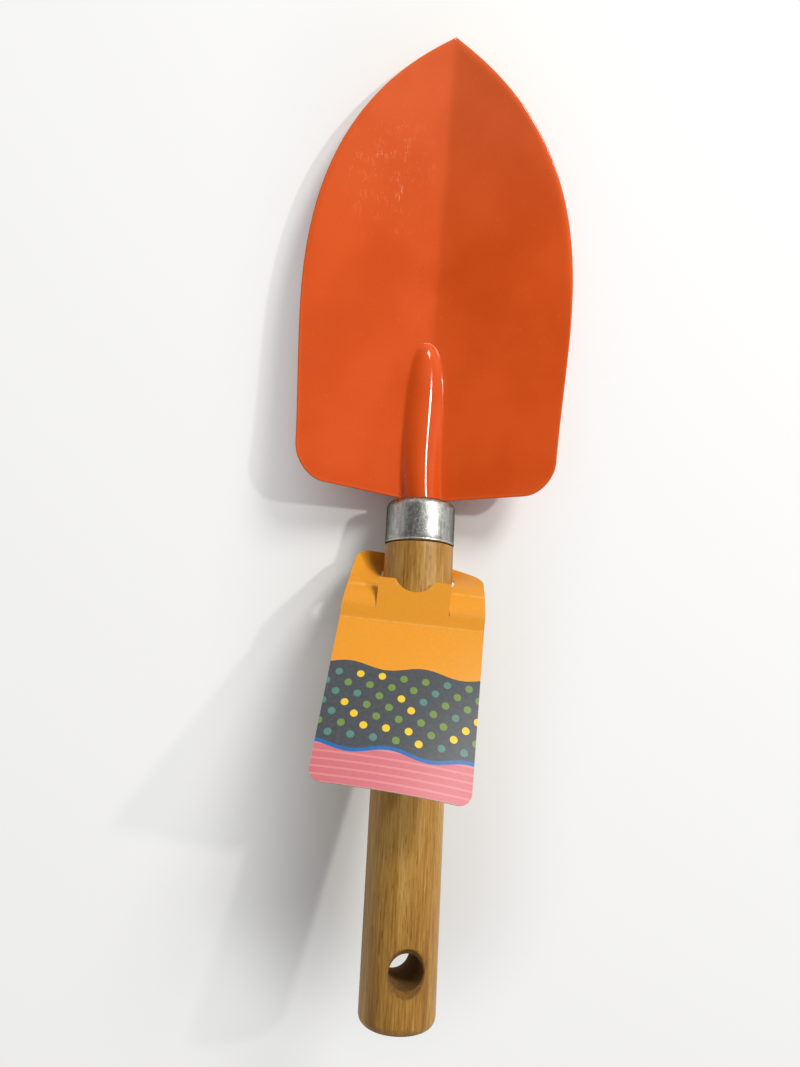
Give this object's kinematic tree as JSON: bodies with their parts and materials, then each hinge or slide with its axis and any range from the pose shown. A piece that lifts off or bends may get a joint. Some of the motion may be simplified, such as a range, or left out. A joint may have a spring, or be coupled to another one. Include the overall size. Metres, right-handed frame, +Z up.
{
  "type": "garden trowel",
  "caption": "Hand trowel with a pressed steel blade, cranked neck, metal ferrule, turned wooden handle with a hanging hole, and a folded card tag that slides on the handle.",
  "frame": {"origin": "centre of the box's footprint, on the table that the trowel lies on with its scoop facing up", "axes": "+Y towards the blade's tip, +Z up, +X to the right"},
  "size_m": [0.083, 0.2874, 0.0676],
  "materials": {
    "powder_coat": "glossy orange powder coat on pressed steel",
    "zinc_plate": "grainy zinc plating",
    "varnished_wood": "clear varnish on straight-grained brown wood",
    "printed_card": "printed card with a light coating"
  },
  "bodies": {
    "trowel": {"blade": "powder_coat", "ferrule": "zinc_plate", "handle": "varnished_wood"},
    "tag": {"tag_collar": "printed_card"},
    "tag_front": {"tag_panel": "printed_card"}
  },
  "joints": [
    {"name": "tag_slide", "type": "slide", "parent": "trowel", "child": "tag", "axis": [0, -0.9585, 0.285], "range_m": [-0.022, 0.135]},
    {"name": "tag_fold", "type": "hinge", "parent": "tag", "child": "tag_front", "pos_m": [-0.00258, -0.03168, 0.03254], "axis": [-0.9877, 0.0206, -0.1549], "range_deg": [-26, 50], "stiffness_Nm_per_rad": 0.006}
  ]
}
